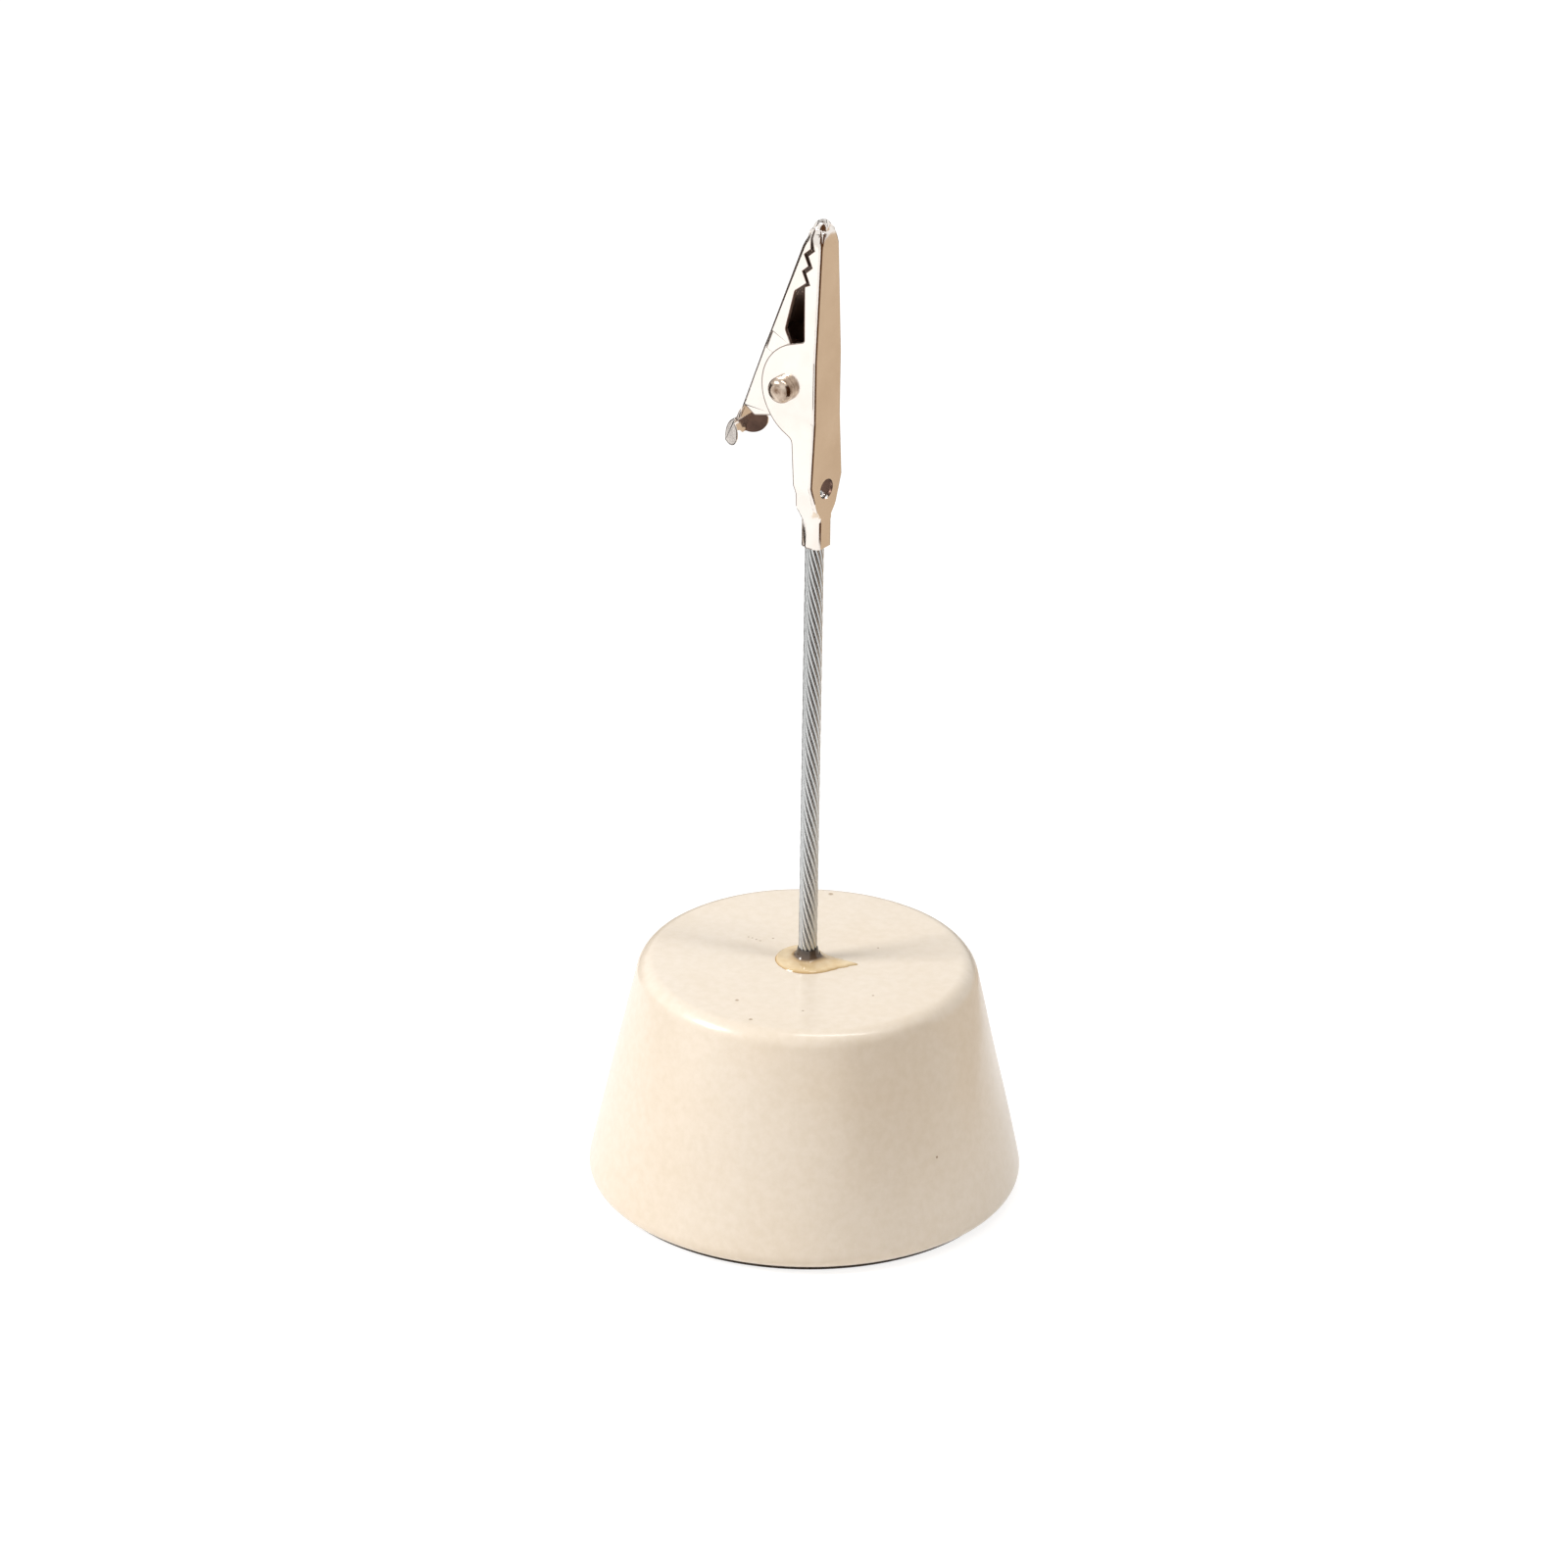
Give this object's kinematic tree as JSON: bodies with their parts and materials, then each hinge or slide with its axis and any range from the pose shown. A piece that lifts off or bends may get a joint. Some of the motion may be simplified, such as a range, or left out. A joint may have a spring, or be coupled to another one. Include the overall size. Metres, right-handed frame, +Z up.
{
  "type": "memo clip holder",
  "caption": "Desk memo holder: a toothed spring clip on a stem of steel strand, glued into a tapered round cast base that stands on a thin pad.",
  "frame": {"origin": "centre of the underside, on the surface that the holder stands on", "axes": "+Z up along the stem, +X towards the back of the fixed jaw, +Y along the clip's rivet"},
  "size_m": [0.0436, 0.0436, 0.1055],
  "materials": {
    "cast_base": "satin",
    "foot_pad": "matte",
    "adhesive": "gloss",
    "strand_steel": "satin",
    "plated_sheet": "polished",
    "plated_rivet": "polished",
    "spring_steel": "satin"
  },
  "bodies": {
    "holder": {"base_body": "cast_base", "base_pad": "foot_pad", "glue_bead": "adhesive", "stem_core_wire": "strand_steel", "stem_inner_wire_1": "strand_steel", "stem_inner_wire_2": "strand_steel", "stem_inner_wire_3": "strand_steel", "stem_inner_wire_4": "strand_steel", "stem_inner_wire_5": "strand_steel", "stem_inner_wire_6": "strand_steel", "stem_outer_wire_1": "strand_steel", "stem_outer_wire_2": "strand_steel", "stem_outer_wire_3": "strand_steel", "stem_outer_wire_4": "strand_steel", "stem_outer_wire_5": "strand_steel", "stem_outer_wire_6": "strand_steel", "stem_outer_wire_7": "strand_steel", "stem_outer_wire_8": "strand_steel", "stem_outer_wire_9": "strand_steel", "stem_outer_wire_10": "strand_steel", "stem_outer_wire_11": "strand_steel", "stem_outer_wire_12": "strand_steel", "fixed_jaw": "plated_sheet", "pivot_rivet": "plated_rivet", "torsion_spring": "spring_steel"},
    "opening_jaw": {"moving_jaw": "plated_sheet"}
  },
  "joints": [
    {"name": "jaw_hinge", "type": "hinge", "parent": "holder", "child": "opening_jaw", "pos_m": [-0.00241, 0, 0.0875], "axis": [0, -1, 0], "range_deg": [0, 30], "stiffness_Nm_per_rad": 0.03, "springref_deg": -34.38, "deforming": ["torsion_spring"]}
  ]
}
